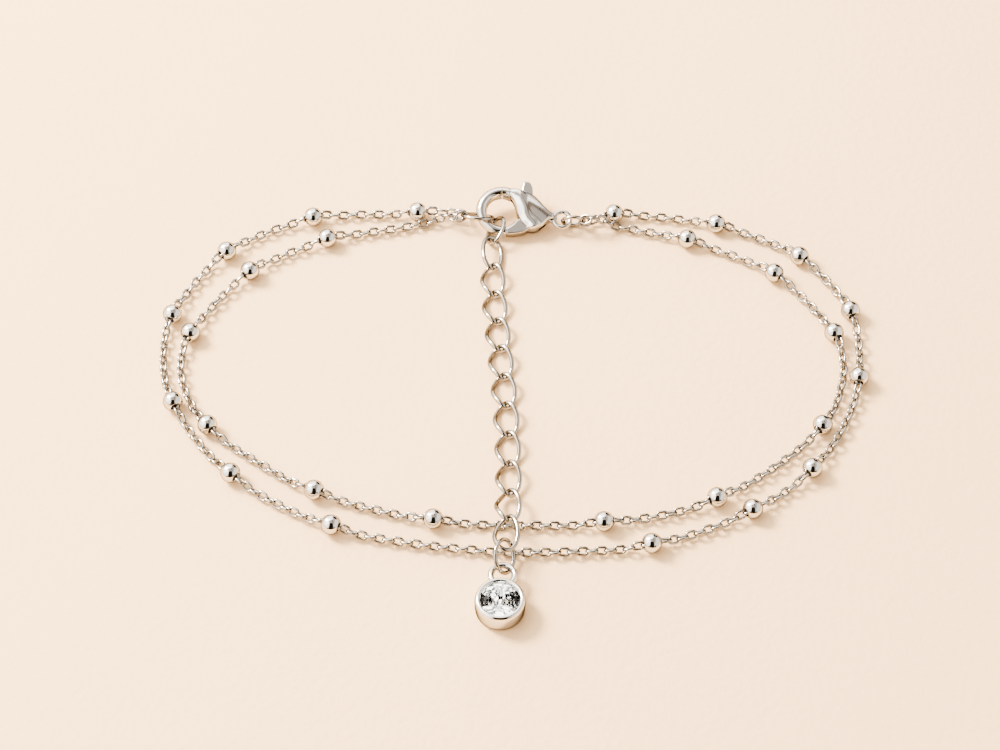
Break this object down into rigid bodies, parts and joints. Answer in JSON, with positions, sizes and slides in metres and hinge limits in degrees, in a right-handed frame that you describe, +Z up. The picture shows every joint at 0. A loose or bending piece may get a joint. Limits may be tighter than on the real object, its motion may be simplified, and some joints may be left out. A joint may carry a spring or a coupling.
{
  "type": "chain bracelet",
  "caption": "Two-strand silver chain bracelet with round station beads, laid open in a loop, a lobster clasp, a curb extender and a round stone drop.",
  "frame": {"origin": "on the surface that the bracelet lies on, under the middle of its outline", "axes": "+X to the right along the loop's long way, +Y to the back where the clasp is (the stone drop is at -Y), +Z up"},
  "size_m": [0.0746, 0.0561, 0.0036],
  "materials": {
    "chain": "polished",
    "beads": "polished",
    "links": "polished",
    "clasp": "polished",
    "pin": "satin",
    "bezel": "polished",
    "stone": "gloss"
  },
  "bodies": {
    "bracelet": {"clasp_body": "clasp", "clasp_jump_ring": "links", "clasp_pin": "pin", "drop_jump_ring": "links", "drop_setting": "bezel", "drop_stone": "stone", "end_jump_ring": "links", "extender_link_01": "links", "extender_link_02": "links", "extender_link_03": "links", "extender_link_04": "links", "extender_link_05": "links", "extender_link_06": "links", "extender_link_07": "links", "extender_link_08": "links", "extender_link_09": "links", "extender_link_10": "links", "extender_link_11": "links", "extender_link_12": "links", "inner_bead_01": "beads", "inner_bead_02": "beads", "inner_bead_03": "beads", "inner_bead_04": "beads", "inner_bead_05": "beads", "inner_bead_06": "beads", "inner_bead_07": "beads", "inner_bead_08": "beads", "inner_bead_09": "beads", "inner_bead_10": "beads", "inner_bead_11": "beads", "inner_bead_12": "beads", "inner_strand": "chain", "outer_bead_01": "beads", "outer_bead_02": "beads", "outer_bead_03": "beads", "outer_bead_04": "beads", "outer_bead_05": "beads", "outer_bead_06": "beads", "outer_bead_07": "beads", "outer_bead_08": "beads", "outer_bead_09": "beads", "outer_bead_10": "beads", "outer_bead_11": "beads", "outer_bead_12": "beads", "outer_bead_13": "beads", "outer_bead_14": "beads", "outer_bead_15": "beads", "outer_strand": "chain"},
    "lever": {"clasp_lever": "clasp"}
  },
  "joints": [
    {"name": "clasp_lever_pivot", "type": "hinge", "parent": "bracelet", "child": "lever", "pos_m": [0.00133, 0.02647, 0.00215], "axis": [0, -0.2924, 0.9563], "range_deg": [0, 28], "stiffness_Nm_per_rad": 0.001, "springref_deg": -20.05}
  ]
}
